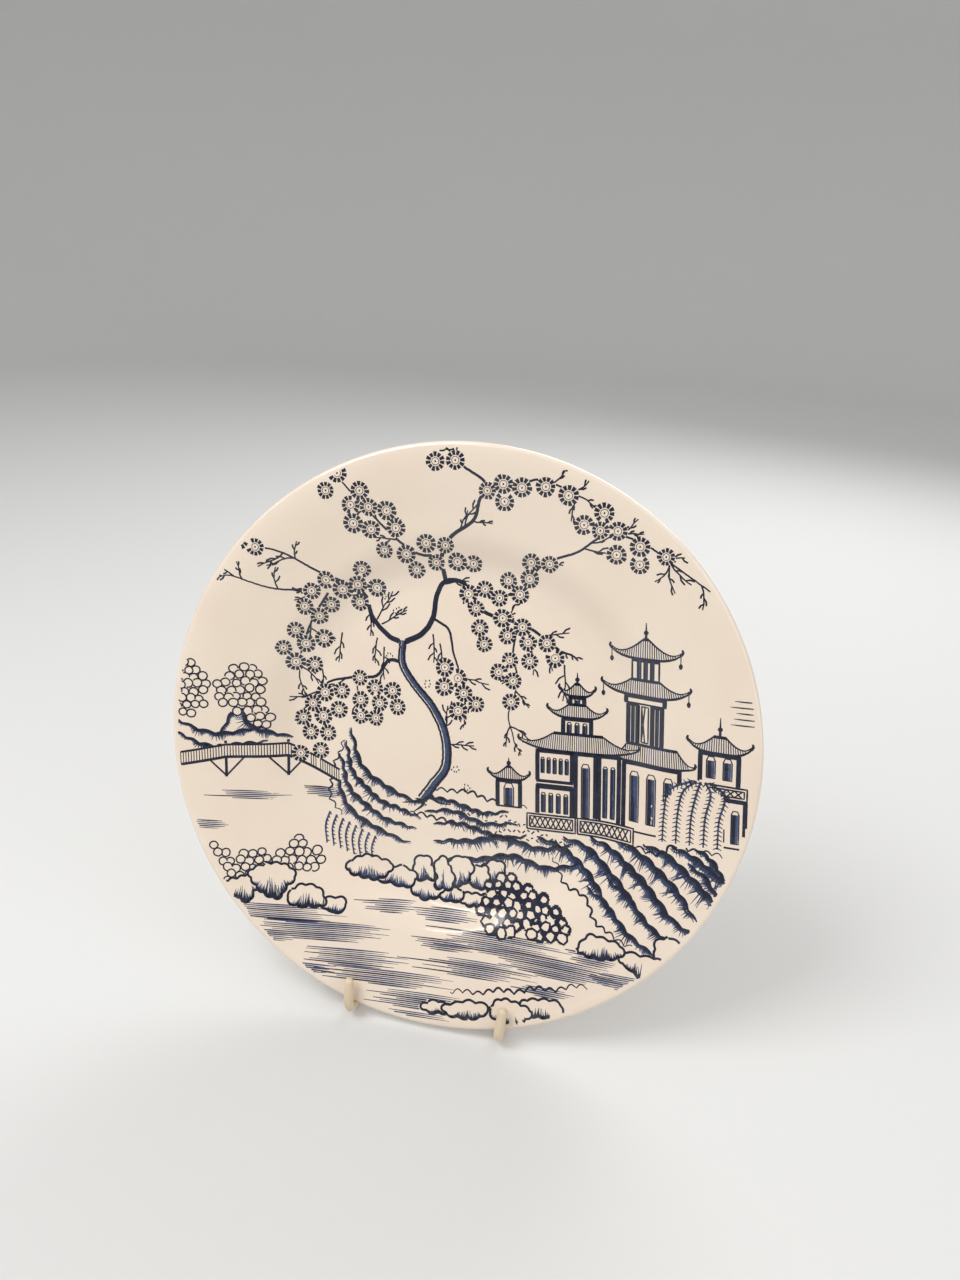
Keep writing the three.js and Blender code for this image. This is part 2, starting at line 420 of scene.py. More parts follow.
def isCovered(point):
    cell = (int(point.x // press["cell"]), int(point.y // press["cell"]))
    return any(inside(outline, point) for outline in coverCells.get(cell, ()))


def straight(points, gap=0.6):
    samples = [points[0]]
    for a, b in zip(points, points[1:]):
        steps = max(1, round((b - a).length / gap))
        samples += [a.lerp(b, (step + 1) / steps) for step in range(steps)]
    return samples


def flowing(points, gap=0.6):
    # a smooth line through the points
    ends = [points[0] * 2 - points[1]] + list(points) + [points[-1] * 2 - points[-2]]
    samples = [points[0]]
    for before, a, b, after in zip(ends, ends[1:], ends[2:], ends[3:]):
        steps = max(2, round((b - a).length / gap))
        for step in range(1, steps + 1):
            t = step / steps
            bend = (before * 2 - a * 5 + b * 4 - after) * t * t
            twist = (a * 3 - before - b * 3 + after) * t ** 3
            samples.append((a * 2 + (b - before) * t + bend + twist) * 0.5)
    return samples


def ring(centre, radius, sides, wobble=0.0, squash=1.0):
    turn = pen.uniform(0, math.tau)
    points = []
    for side in range(sides):
        way = toward(turn + math.tau * side / sides, radius * (1 + pen.uniform(-wobble, wobble)))
        points.append(centre + Vector((way.x, way.y * squash)))
    return points


def closedLine(points):
    return list(points) + [points[0]]


def across(samples, index):
    # the direction to the left of the line at a sample
    ahead = samples[min(index + 1, len(samples) - 1)] - samples[max(index - 1, 0)]
    return Vector((-ahead.y, ahead.x)).normalized() if ahead.length else Vector((0, 1))


def beside(samples, distance, wobble=0.0):
    # the same line moved sideways, by distances at its start and its end
    last = len(samples) - 1
    moved = []
    for index, point in enumerate(samples):
        away = distance[0] + (distance[1] - distance[0]) * index / last
        moved.append(point + across(samples, index) * (away + pen.uniform(-wobble, wobble)))
    return moved


def scalloped(samples, size, height):
    # bumps along the left of a line
    gone, shift, bumped = 0, pen.uniform(0, 1), []
    for index, point in enumerate(samples):
        gone += (point - samples[index - 1]).length if index else 0
        swell = abs(math.sin(math.pi * (gone / size + shift))) + 0.35 * math.sin(gone / size * 1.7)
        bumped.append(point + across(samples, index) * height * swell)
    return bumped


class Ink:
    def __init__(self, name, thickness):
        self.name, self.thickness, self.runs = name, thickness, []

    def stroke(self, samples, width, start=1.0, end=1.0):
        # width is one number or a pair; start and end are the shares of it at the tips
        first, second = width if isinstance(width, tuple) else (width, width)
        run, last = [], len(samples) - 1
        for index, point in enumerate(samples):
            share = index / last
            thin = start if share < 0.5 else end
            full = press["weight"] * (first + (second - first) * share) / 2
            if point.length > press["edge"] or isCovered(point):
                self.keep(run)
                run = []
            else:
                run.append((point, full * (thin + (1 - thin) * math.sin(math.pi * share))))
        self.keep(run)

    def keep(self, run):
        # only the points that the stroke's shape needs
        if len(run) < 2:
            return
        kept = [run[0]]
        for now, after in zip(run[1:], run[2:]):
            gone = now[0] - kept[-1][0]
            bends = gone.angle(after[0] - now[0], 0) > press["leastTurn"]
            swells = abs(now[1] - (kept[-1][1] + after[1]) / 2) > press["leastSwell"]
            if bends or swells or gone.length > press["straightRun"]:
                kept.append(now)
        self.runs.append(kept + [run[-1]])

    def printed(self, target):
        curve = bpy.data.curves.new(self.name, "CURVE")
        curve.dimensions, curve.twist_mode = "3D", "Z_UP"
        curve.extrude = mm
        for run in self.runs:
            line = curve.splines.new("POLY")
            line.points.add(len(run) - 1)
            for spot, (point, half) in zip(line.points, run):
                spot.co = (point.x * mm, point.y * mm, press["drawnAt"], 1)
            line.points.foreach_set("radius", [half for point, half in run])
            line.points.foreach_set("tilt", [math.pi / 2] * len(run))
        layer = bpy.data.objects.new(self.name, curve)
        bpy.context.scene.collection.objects.link(layer)
        pick(layer)
        bpy.ops.object.convert(target="MESH")
        layer = bpy.context.object
        layer.rotation_euler.z = press["turned"]
        applyPlace(layer)
        wrap = layer.modifiers.new("onGlaze", "SHRINKWRAP")
        wrap.target, wrap.wrap_method = target, "PROJECT"
        wrap.use_project_z, wrap.use_negative_direction, wrap.use_positive_direction = True, True, False
        bpy.ops.object.modifier_apply(modifier=wrap.name)
        body = layer.modifiers.new("inkBody", "SOLIDIFY")
        body.thickness, body.offset = self.thickness, 0
        bpy.ops.object.modifier_apply(modifier=body.name)
        bpy.ops.object.shade_smooth_by_angle(angle=math.radians(40))
        return layer


navy, blue = (Ink(*layer) for layer in press["layers"])


blossom = dict(
    radius=(3.5, 4.2), petals=11, apart=6.9,
    petalFrom=0.52, petalWidth=0.305, heart=0.4,    # shares of the radius
    tries=400,
)
clusters = (
    # path, spread and how many blossoms
    (dots((-24, 82), (-34, 96), (-46, 108)), 8, 13),
    (dots((-42, 68), (-55, 62), (-64, 50), (-70, 36)), 8, 19),
    (dots((-84, 84), (-91, 86)), 3, 3),
    (dots((-8, 119), (4, 120)), 2, 2),
    (dots((20, 106), (34, 110), (48, 105)), 5, 9),
    (dots((-18, 78), (-6, 82), (4, 78)), 5, 8),
    (dots((8, 60), (22, 64), (36, 74)), 6, 12),
    (dots((58, 94), (70, 86), (86, 80)), 6, 9),
    (dots((14, 48), (26, 46), (34, 41), (41, 40)), 7, 14),
    (dots((22, 32), (24, 18)), 5, 5),
    (dots((-7, 30), (0, 22), (4, 14)), 5, 8),
    (dots((-34, 14), (-46, 18), (-58, 12), (-68, -2)), 9, 23),
)
limbs = (
    # path and the width at each end
    (dots((-24.5, 42), (-31, 45), (-38, 53), (-41, 63), (-49, 69), (-62, 66)), (1.8, 0.9)),
    (dots(
        (-24.5, 42), (-16, 46), (-11, 53), (-9, 63), (-5, 69),
        (3, 68), (8, 59), (16, 54), (30, 50), (44, 40),
    ), (2.0, 0.8)),
    (dots((-5, 69), (-6, 79), (-1, 88), (9, 95), (12, 103), (15, 110), (6, 117), (2, 122)), (1.5, 0.7)),
    (dots((-6, 80), (-16, 81), (-26, 89), (-35, 99), (-45, 111)), (1.0, 0.5)),
    (dots(
        (3, 68), (15, 62), (27, 66), (38, 77), (52, 82), (64, 89), (78, 86), (92, 76), (106, 66),
    ), (1.0, 0.45)),
    (dots((15, 109), (26, 108), (38, 111), (54, 104)), (0.9, 0.5)),
    (dots((-49, 69), (-60, 74), (-74, 82), (-88, 85)), (0.8, 0.5)),
    (dots((-60, 66), (-78, 66), (-96, 72)), (0.7, 0.45)),
    (dots((-56, 64), (-64, 52), (-70, 38), (-72, 26)), (0.8, 0.45)),
    (dots((-24, 33), (-31, 34), (-37, 27), (-48, 26), (-60, 23), (-70, 12)), (1.3, 0.5)),
    (dots((-11, 53), (-4, 48), (-2, 38), (1, 28), (3, 14)), (0.9, 0.4)),
    (dots((26, 50), (24, 38), (26, 26), (22, 12), (24, 2)), (0.7, 0.4)),
)
trunk = dict(
    path=dots((-17, -28), (-12, -21), (-6, -12), (-6.5, 2), (-12, 14), (-20, 24), (-25, 33), (-24.5, 43)),
    width=(3.8, 2.2),
)


twigs = dict(
    hanging=dots(
        (-36, 44), (-33, 40), (-40, 58), (-52, 46), (-11, 46),
        (-46, 24), (-62, 30), (-8, 42), (32, 44), (46, 34),
    ),
    rising=(
        # foot and heading
        (Vector((-7.5, 2)), 1.1), (Vector((-7, -4)), 0.2),
        (Vector((-36, 52)), 0.9), (Vector((-34, 50)), 0.3),
    ),
    specks=dots((-31, 36), (-14, 24), (-27, 56), (-2, -14), (3, -22), (-33, 62)),
)
roots = (
    dots((-15.5, -26), (-19, -29), (-26, -30)),
    dots((-15.5, -27), (-17, -31), (-21, -34)),
    dots((-13.5, -25), (-10, -29), (-4, -30)),
)


def drawBlossom(centre):
    radius = pen.uniform(*blossom["radius"])
    turn = pen.random()
    for petal in range(blossom["petals"]):
        way = toward(turn + math.tau * petal / blossom["petals"])
        tip = radius * pen.uniform(0.93, 1.04)
        petalLine = [centre + way * radius * blossom["petalFrom"], centre + way * tip]
        navy.stroke(petalLine, radius * blossom["petalWidth"], start=0.66)
    navy.stroke(closedLine(ring(centre, radius * blossom["heart"], 8)), 0.2)
    navy.stroke([centre - Vector((0.3, 0)), centre + Vector((0.3, 0))], 0.6)
    cover(ring(centre, radius * 0.98, 10))


def scatterBlossoms():
    placed = []
    for path, spread, count in clusters:
        samples = flowing(path)
        wanted = len(placed) + count
        for attempt in range(blossom["tries"]):
            spot = pen.choice(samples) + toward(pen.uniform(0, math.tau), pen.uniform(0, spread))
            if all((spot - other).length > blossom["apart"] for other in placed):
                placed.append(spot)
                drawBlossom(spot)
            if len(placed) == wanted:
                break


def drawTwig(start, heading, length, width=0.55, shoots=3, droop=0.0):
    points, angle = [start], heading
    for joint in range(4):
        angle += pen.uniform(-0.35, 0.35)
        angle += (-math.pi / 2 - angle) * droop
        points.append(points[-1] + toward(angle, length / 4))
    stem = flowing(points)
    navy.stroke(stem, (width, width * 0.7))
    side = pen.choice((-1, 1))
    for shoot in range(shoots):
        place = stem[int(len(stem) * (0.3 + 0.65 * shoot / shoots))]
        lean = angle + side * pen.uniform(0.5, 0.85)
        reach = length * pen.uniform(0.2, 0.36)
        middle = place + toward(lean, reach * 0.55)
        tip = middle + toward(lean - side * 0.45, reach * 0.5)
        navy.stroke(flowing([place, middle, tip]), (0.4, 0.75), end=0.7)
        side = -side


def drawTree():
    samples = flowing(trunk["path"])
    wide, narrow = (width / 2 for width in trunk["width"])
    navy.stroke(beside(samples, (wide, narrow), 0.12), 0.7)
    navy.stroke(beside(samples, (-wide, -narrow), 0.12), 0.9)
    blue.stroke(beside(samples, (-wide * 0.3, -narrow * 0.3)), (wide * 1.2, narrow * 1.2))
    for index in range(2, len(samples) - 1, 2):
        left = across(samples, index)
        lower = samples[index] - left * wide * 0.9
        navy.stroke([lower, lower + left * pen.uniform(0.5, 1.4) + Vector((0, 0.5))], (0.5, 0.15))
    cover(beside(samples, (wide, narrow)) + beside(samples, (-wide, -narrow))[::-1])
    for path in roots:
        navy.stroke(flowing(path), (1.5, 0.3), 0.7)
    for path, (first, second) in limbs:
        limb = flowing(path)
        navy.stroke(beside(limb, (0, 0), 0.08), (first, second))
        for twig in range(int(len(limb) / 20)):
            spot = pen.randrange(int(len(limb) * 0.35), len(limb))
            ahead = limb[spot] - limb[spot - 3]
            heading = math.atan2(ahead.y, ahead.x) + pen.choice((-1, 1)) * pen.uniform(0.5, 1.1)
            drawTwig(limb[spot], heading, pen.uniform(7, 13))
        ahead = limb[-1] - limb[-4]
        drawTwig(limb[-1], math.atan2(ahead.y, ahead.x), 9, width=second, shoots=4)
    for spot in twigs["hanging"]:
        drawTwig(spot, -math.pi / 2 + pen.uniform(-0.3, 0.3), pen.uniform(11, 17), shoots=4, droop=0.5)
    for spot, heading in twigs["rising"]:
        drawTwig(spot, heading, pen.uniform(12, 16), shoots=5)
    for spot in twigs["specks"]:
        for speck in range(6):
            place = spot + toward(math.tau * speck / 6, pen.uniform(0.9, 1.9))
            navy.stroke([place, place + Vector((0.5, 0.1))], 0.6)


tilt = -0.06   # the buildings run a little downhill to the right


def site(x, y):
    return Vector((x, y + tilt * (x - 50)))


def drawRoof(x, y, half, height, lift, flat=0.3, finial=4.0, drops=False):
    # eaves that sweep up by lift, a ridge that is flat over a share of the width, and ribs between
    def eave(at):
        return lift * abs(at / half) ** 4

    def top(at):
        slope = max(0, (abs(at) / half - flat) / (1 - flat))
        return eave(at) + 0.9 + height * (1 - slope) ** 1.7

    steps = [half * (step / 20 - 1) for step in range(41)]
    lower = [site(x + at, y + eave(at)) for at in steps]
    upper = [site(x + at, y + top(at)) for at in steps]
    navy.stroke(straight(lower), 0.95, 0.6, 0.6)
    navy.stroke(straight(upper), 0.6, 0.6, 0.6)
    seam = -half * 0.9
    while seam < half * 0.9:
        line = straight([site(x + seam, y + eave(seam)), site(x + seam * 0.94, y + top(seam * 0.94))])
        (navy if pen.random() < 0.5 else blue).stroke(line, 0.32)
        seam += 0.95
    for end in (0, -1):
        curl = lower[end] + Vector((0.8 if end else -0.8, 1.4))
        navy.stroke(flowing([lower[end], curl, curl + Vector((-0.4 if end else 0.4, 1.1))]), 0.9, end=0.5)
        if drops:
            string = lower[end] + Vector((0, -3.2))
            navy.stroke([lower[end], string], 0.3)
            navy.stroke(straight([string, string - Vector((0, 2.4))]), 1.3, 0.2, 0.5)
    cap = half * flat
    navy.stroke(straight([site(x - cap, y + top(0)), site(x + cap, y + top(0))]), 1.0)
    if finial:
        base = site(x, y + top(0))
        navy.stroke(straight([base, base + Vector((0, finial))]), (0.9, 0.25))
        navy.stroke(closedLine(ring(base + Vector((0, finial * 0.4)), 0.7, 8)), 0.5)
    cover(lower + upper[::-1])


def drawWall(left, right, bottom, top, windows, sill=0.25, head=0.75, posts=True):
    # sill and head are shares of the wall's height
    corners = [site(left, bottom), site(right, bottom), site(right, top), site(left, top)]
    navy.stroke(straight(closedLine(corners)), 0.6)
    navy.stroke(straight([site(left, top - 0.8), site(right, top - 0.8)]), 0.9)
    high = top - bottom
    if posts:
        for post in (left + 0.9, right - 0.9):
            navy.stroke(straight([site(post, bottom), site(post, top)]), 0.9)
    pitch = (right - left - 3) / max(1, windows)
    for window in range(windows):
        middle = left + 1.5 + pitch * (window + 0.5)
        wide = pitch * 0.26
        foot, crown = bottom + high * sill, bottom + high * head
        pane = [site(middle, foot), site(middle, crown)]
        blue.stroke(straight(pane), wide * 1.2)
        frameLine = [site(middle - wide, foot), site(middle - wide, crown)]
        frameLine += [site(middle - wide * 0.6, crown + wide), site(middle + wide * 0.6, crown + wide)]
        frameLine += [site(middle + wide, crown), site(middle + wide, foot)]
        navy.stroke(straight(closedLine(frameLine)), 0.4)
        shade = middle - wide * 0.35
        navy.stroke(straight([site(shade, foot), site(shade, crown)]), wide * 0.7)
    cover(corners)


def drawLattice(left, right, bottom, top, pitch=2.3):
    corners = [site(left, bottom), site(right, bottom), site(right, top), site(left, top)]
    navy.stroke(straight(closedLine(corners)), 0.6)
    inset = 1.1
    inner = [site(left + inset, bottom + inset), site(right - inset, bottom + inset)]
    inner += [site(right - inset, top - inset), site(left + inset, top - inset)]
    navy.stroke(straight(closedLine(inner)), 0.5)
    x = left + inset
    while x + pitch < right - inset:
        navy.stroke(straight([site(x, bottom + inset), site(x + pitch, top - inset)]), 0.46)
        navy.stroke(straight([site(x, top - inset), site(x + pitch, bottom + inset)]), 0.46)
        x += pitch
    cover(corners)


def drawBands(left, right, bottom, top, count):
    # plain boards or steps across a wall
    for band in range(count):
        level = bottom + (top - bottom) * (band + 0.5) / count
        navy.stroke(straight([site(left, level), site(right, level)]), 0.55)


def drawWillow():
    # long leafy branches that hang over the wall from one crown
    for x in (89, 94.5, 100, 105.5, 111):
        drawFrond(dots((103 + (x - 100) * 0.3, -11), (x + 1.5, -16), (x - 0.5, -26), (x - 1, -38)), 1.7)
    cover(dots((104, -10), (92, -14), (86, -26), (86, -39), (112, -39), (113, -18)))


def drawPavilions():
    # garden house on the left
    drawRoof(22, -19, 8.5, 5, 2.4, flat=0.12, finial=4)
    drawWall(16.5, 27.5, -31, -19, 1, sill=0.05, head=0.7)
    # terrace and the main hall
    drawLattice(30, 51, -40, -33)
    drawLattice(52, 76, -40, -33)
    drawRoof(52, -4, 25, 7, 3.6, flat=0.42, finial=0)
    drawWall(34, 50, -33, -20, 4, sill=0.1, head=0.7)
    drawBands(34, 50, -20, -17.5, 2)
    drawWall(34, 50, -17.5, -4, 5, sill=0.25, head=0.7)
    drawWall(50.5, 60, -33, -4, 1, sill=0.02, head=0.78)
    drawWall(60.5, 70, -33, -4, 2, sill=0.06, head=0.8)
    drawRoof(51.5, 11, 12, 5, 3.2, flat=0.3, finial=0)
    drawWall(45, 58, 0, 11, 3, sill=0.4, head=0.74)
    drawRoof(51.5, 20.5, 7, 4.4, 2.6, flat=0.15, finial=5)
    drawWall(48, 55, 14, 20.5, 1, sill=0.42, head=0.76)
    # tower
    drawRoof(80, 40, 14, 7.5, 3.2, flat=0.08, finial=7, drops=True)
    drawWall(74.5, 85.5, 31, 40, 3, sill=0, head=0.95, posts=False)
    drawRoof(80, 24, 17.5, 6, 3.8, flat=0.34, finial=0, drops=True)
    drawWall(71.5, 88.5, 20.6, 24, 0)
    drawWall(72.5, 77.5, 3, 20.6, 1, sill=0, head=0.92)
    drawLattice(77.5, 82.5, 3, 20.6, pitch=1.4)
    drawWall(82.5, 87.5, 3, 20.6, 1, sill=0, head=0.92)
    drawRoof(83, -5, 17, 7, 1.6, flat=0.6, finial=0)
    drawWall(71, 95, -34, -5, 3, sill=0.14, head=0.8)
    # gatehouse by the rim
    drawRoof(110, 5, 12, 6, 3.4, flat=0.2, finial=8)
    drawWall(102, 118, -8, 5, 2, sill=0.2, head=0.75)
    drawLattice(100, 121, -13, -8, pitch=3)
    drawWall(101, 121, -33, -13, 3, sill=0.1, head=0.7)
    for line in range(5):
        level = 14 + line * 2.4
        navy.stroke(straight(dots((113 + pen.uniform(0, 3), level), (123, level - 0.4))), 0.45, 0.3, 0.6)


rock = dict(
    crest=1.15, step=0.5,
    shadowShift=0.15, shadowWidth=0.22,    # shares of the hatching's depth
    lobes=0.28,                            # share of the depth that comes and goes along a ridge
    hatch=(0.5, 0.1),                      # width of a hatching line at its root and at its tip
    outline=0.8, foot=1.3, footHatch=(0.55, 0.1),
)


def drawRidge(points, depth):
    # a heavy wavering crest, a soft shadow below it and hatching that fades out in lobes
    crest = scalloped(flowing(points, rock["step"]), pen.uniform(5, 8), 1.0)
    navy.stroke(crest, rock["crest"], 0.35, 0.35)
    shadow = -depth * rock["shadowShift"]
    blue.stroke(beside(crest, (shadow, shadow)), depth * rock["shadowWidth"], 0.1, 0.1)
    last, lobe = len(crest) - 1, pen.uniform(0.28, 0.4)
    for index in range(1, last):
        fade = math.sin(math.pi * index / last) ** 0.6
        way = toward(pen.uniform(0, math.tau), 0.09) - across(crest, index)
        swing = 1 - rock["lobes"] + rock["lobes"] * math.sin(index * lobe)
        reach = depth * fade * swing * pen.uniform(0.82, 1.0)
        root = crest[index]
        navy.stroke([root, root + way * reach * 0.5], rock["hatch"])
        blue.stroke([root + way * reach * share for share in (0.2, 0.6, 1)], rock["hatch"])


def drawCloudEdge(points):
    # the lumpy edge of a bank
    navy.stroke(scalloped(flowing(points, rock["step"]), 4.6, 1.7), 0.75, 0.4, 0.4)


def drawBoulder(centre, wide, high):
    # a lumpy outline, shaded upwards from its foot
    body = flowing(closedLine(ring(centre, wide, 8, 0.26, high / wide)), rock["step"])
    outline = scalloped(body, pen.uniform(4, 6.5), -0.9)
    navy.stroke(outline, rock["outline"])
    foot = sorted((point for point in outline if point.y < centre.y), key=lambda point: point.x)
    navy.stroke(foot, rock["foot"], 0.3, 0.3)
    for point in foot:
        aside = (point.x - centre.x) / wide
        lean = toward(math.pi / 2 + aside * 0.5 + pen.uniform(-0.15, 0.15))
        reach = high * 1.5 * pen.uniform(0.35, 0.8) * (1.15 - abs(aside))
        navy.stroke([point, point + lean * reach * 0.5], rock["footHatch"])
        blue.stroke([point, point + lean * reach], rock["footHatch"])
    cover(outline)


def fillBlob(outline, gap):
    # spots on a loose honeycomb inside an outline
    spots, row, odd = [], min(point.y for point in outline), False
    left, right = (end(point.x for point in outline) for end in (min, max))
    while row < max(point.y for point in outline):
        x = left + (gap / 2 if odd else 0)
        while x < right:
            spot = Vector((x, row)) + toward(pen.uniform(0, math.tau), gap * 0.13)
            if inside(outline, spot):
                spots.append(spot)
            x += gap
        row, odd = row + gap * 0.82, not odd
    return spots


def drawBubbles(outline):
    for spot in fillBlob(outline, 3.9):
        bubble = closedLine(ring(spot, pen.uniform(1.8, 2.1), 12, 0.04, pen.uniform(0.86, 1)))
        navy.stroke(bubble, 0.5)
        cover(bubble[:-1])


def drawPebbles(outline):
    # pale pebbles with solid ink between them
    spots = fillBlob(outline, 4.5)
    for spot in spots:
        pebble = ring(spot, pen.uniform(1.7, 2.4), pen.choice((5, 6, 7)), 0.2)
        navy.stroke(closedLine(pebble), 0.75)
        cover(pebble)
    left, right = (end(point.x for point in outline) for end in (min, max))
    level, top = (end(point.y for point in outline) for end in (min, max))
    while level < top + 2:
        run = []
        for point in straight(dots((left - 3, level), (right + 3, level)), 0.4):
            if any((point - spot).length < 2.8 for spot in spots):
                run.append(point)
            elif len(run) > 1:
                navy.stroke(run, 0.6)
                run = []
        level += 0.6


def drawFrond(points, tick=2.0, both=True):
    stalk = flowing(points)
    blue.stroke(stalk, (0.8, 0.5))
    for index in range(1, len(stalk) - 1, 3):
        for side in ((-1, 1) if both else (1,)):
            ahead = (stalk[index] - stalk[index - 1]).normalized()
            tip = stalk[index] + across(stalk, index) * side * tick + ahead * tick * 0.5
            navy.stroke([stalk[index], tip], (0.45, 0.2))


def drawDottedShrub(points):
    # a low bush, only hinted at by a lumpy line of short dashes
    outline = scalloped(flowing(points, rock["step"]), 4.2, 2.0)
    for a, b in zip(outline[::4], outline[2::4]):
        navy.stroke([a, b], 0.48)


def drawBridge():
    deck = straight(dots((-126, -13), (-104, -9.5), (-78, -10), (-55, -22)), 0.6)
    rail = [point + Vector((0, 5.6)) for point in deck]
    navy.stroke(rail, 0.75)
    navy.stroke(deck, 0.95)
    for index in range(0, len(deck), 2):
        navy.stroke([deck[index], rail[index]], 0.3)
    cover(deck + rail[::-1])
    for x, level in ((-104, -9.5), (-78, -10)):
        post = Vector((x, level))
        navy.stroke(straight([post + Vector((0, 7.4)), post - Vector((0, 9))]), 0.9)
        for side in (-1, 1):
            navy.stroke(straight([post + Vector((side * 8, 0)), post - Vector((0, 8.5))]), 0.6)


folds = (
    # path, the shift from one copy to the next, how many copies and the depth of the hatching
    (dots((-50, 3), (-45, -13), (-33, -24), (-15, -31)), (-2.6, -6), 4, 5.4),
    (dots((-20, -29), (-6, -28), (8, -33), (22, -32)), (4, -5.4), 3, 4.2),
    (dots((-12, -48), (4, -46), (20, -44), (36, -48), (50, -46)), (3, -8.4), 2, 7),
    (dots((34, -43), (47, -48), (58, -58), (68, -71)), (11.5, 0.6), 6, 8.6),
    (dots((56, -62), (66, -69), (76, -80), (86, -86)), (9, 4.5), 3, 6),
    (dots((98, -46), (106, -52), (112, -62)), (3, 7), 2, 4.5),
    (dots((-126, 2), (-116, -3), (-104, -5), (-86, -3)), (0, 6), 2, 4),
    (dots((-106, 0), (-98, 12), (-93, 4), (-84, 0), (-76, -2)), (3, -4), 1, 5),
)
cloudEdges = (
    dots((-16, -25), (-2, -24), (12, -27), (30, -30)),
    dots((-24, -36), (-10, -37), (2, -42)),
    dots((40, -52), (46, -62), (56, -68), (62, -78), (76, -84)),
    dots((72, -42), (86, -44), (96, -40), (112, -42)),
    dots((-2, -112), (16, -110), (36, -107), (58, -103)),
    dots((-54, -2), (-58, -14), (-61, -26), (-56, -38)),
)
boulders = (
    # centre, half its width and half its height
    ((-84, -66), 9, 7), ((-97, -69), 7, 5), ((-69, -73), 8, 5), ((-56, -76), 5, 3),
    ((-42, -60), 10, 4.4), ((-29, -64), 8.5, 4), ((-17, -60), 5, 6), ((-8, -63), 4, 6.5),
    ((0, -60), 5, 7), ((8, -63), 5, 5), ((-16, -69), 7, 4), ((-4, -71), 6, 3.6),
    ((8, -73), 7, 2.6), ((15, -59), 6, 4.4),
    ((64, -86), 10, 4.4), ((80, -90), 8, 4), ((92, -83), 6, 5),
    ((6, -118), 9, 3.4), ((23, -117), 9, 4), ((38, -114), 9, 3.4), ((-8, -118), 5, 2),
)


pebbleBank = dots(
    (12, -66), (22, -60), (34, -66), (46, -72), (52, -80), (44, -86), (30, -84), (16, -88), (8, -80),
)
shrubs = (
    dots(
        (-112, -44), (-102, -54), (-94, -50), (-84, -54), (-74, -46),
        (-62, -54), (-64, -62), (-90, -62), (-104, -66),
    ),
    dots(
        (-104, 14), (-108, 22), (-102, 30), (-92, 32), (-84, 24),
        (-88, 16), (-80, 10), (-86, 2), (-96, 8),
    ),
    dots((-124, 30), (-118, 36), (-110, 26), (-112, 14), (-118, 8), (-124, 12)),
)


def drawGround():
    drawPebbles(pebbleBank)
    for centre, wide, high in boulders:
        drawBoulder(Vector(centre), wide, high)
    for outline in shrubs:
        drawBubbles(outline)
    drawBridge()
    for path, shift, copies, depth in folds:
        for copy in range(copies):
            drawRidge([point + Vector(shift) * copy for point in path], depth)
    for path in cloudEdges:
        drawCloudEdge(path)
    for step in range(8):
        x, fall = -60 + step * 3, step * 3 * 0.5
        drawFrond(dots((x, -36 - fall), (x - 2, -42 - fall), (x - 1, -50 - fall * 0.9)), 1.2, both=False)
    for row in range(4):
        level, shift = -36.5 - row * 3.4, row * 8
        drawDottedShrub(dots((0 + shift, level), (12 + shift, level + 2.2), (24 + shift, level - 0.6)))


lakes = (
    # centre, half its length and how many lines
    ((-94, -27), 19, 5), ((-62, -27), 11, 6), ((-112, -40), 9, 5), ((-30, -77), 14, 7),
    ((-6, -80), 18, 7), ((-78, -80), 30, 9), ((-58, -88), 34, 10), ((-84, -90), 16, 6),
    ((-48, -99), 30, 9), ((-66, -104), 14, 5), ((-30, -107), 34, 8), ((-12, -116), 30, 9),
    ((22, -90), 34, 11), ((-4, -92), 16, 6), ((46, -97), 32, 10), ((10, -101), 30, 9),
    ((74, -99), 16, 8), ((40, -107), 16, 5), ((-20, -122), 22, 4), ((60, -91), 14, 6),
)
ripple = dict(drop=0.06, pitch=0.84, width=0.42, ragged=(0.45, 1.0))


def drawWater():
    # bands of ruled lines with ragged ends, and now and then one longer line
    for (x, y), half, count in lakes:
        for line in range(count):
            level = (line - (count - 1) / 2) * ripple["pitch"]
            swell = math.sqrt(1 - (2 * line / count - 1) ** 2 * 0.7)
            left, right = (half * swell * pen.uniform(*ripple["ragged"]) for end in (0, 1))
            long = line % 4 == 1
            left = left * 1.35 if long else left
            start = Vector((x - left, y + level + left * ripple["drop"]))
            end = Vector((x + right, y + level - right * ripple["drop"]))
            ink = navy if long else blue
            ink.stroke(straight([start, end], 1.5), ripple["width"] * pen.uniform(0.8, 1.3), 0.5, 0.25)


scatterBlossoms()
drawWillow()
drawPavilions()
drawGround()
drawTree()
drawWater()
navyPrint, bluePrint = (ink.printed(glazedPlate) for ink in (navy, blue))
for piece in (navyPrint, bluePrint):
    print(piece.name, len(piece.data.polygons), "faces")

for piece in (glazedPlate, navyPrint, bluePrint):
    piece.matrix_world = plateMatrix()
    applyPlace(piece)


class Value:
    # a node's output that takes part in sums
    def __init__(self, finish, socket):
        self.finish, self.socket = finish, socket

    def sum(self, operation, first, second):
        return self.finish.node("ShaderNodeMath", {"operation": operation}, {0: first, 1: second})

    def __add__(self, other):
        return self.sum("ADD", self, other)

    def __sub__(self, other):
        return self.sum("SUBTRACT", self, other)

    def __rsub__(self, other):
        return self.sum("SUBTRACT", other, self)

    def __mul__(self, other):
        return self.sum("MULTIPLY", self, other)

    def __gt__(self, other):
        return self.sum("GREATER_THAN", self, other)

    __radd__ = __add__
    __rmul__ = __mul__


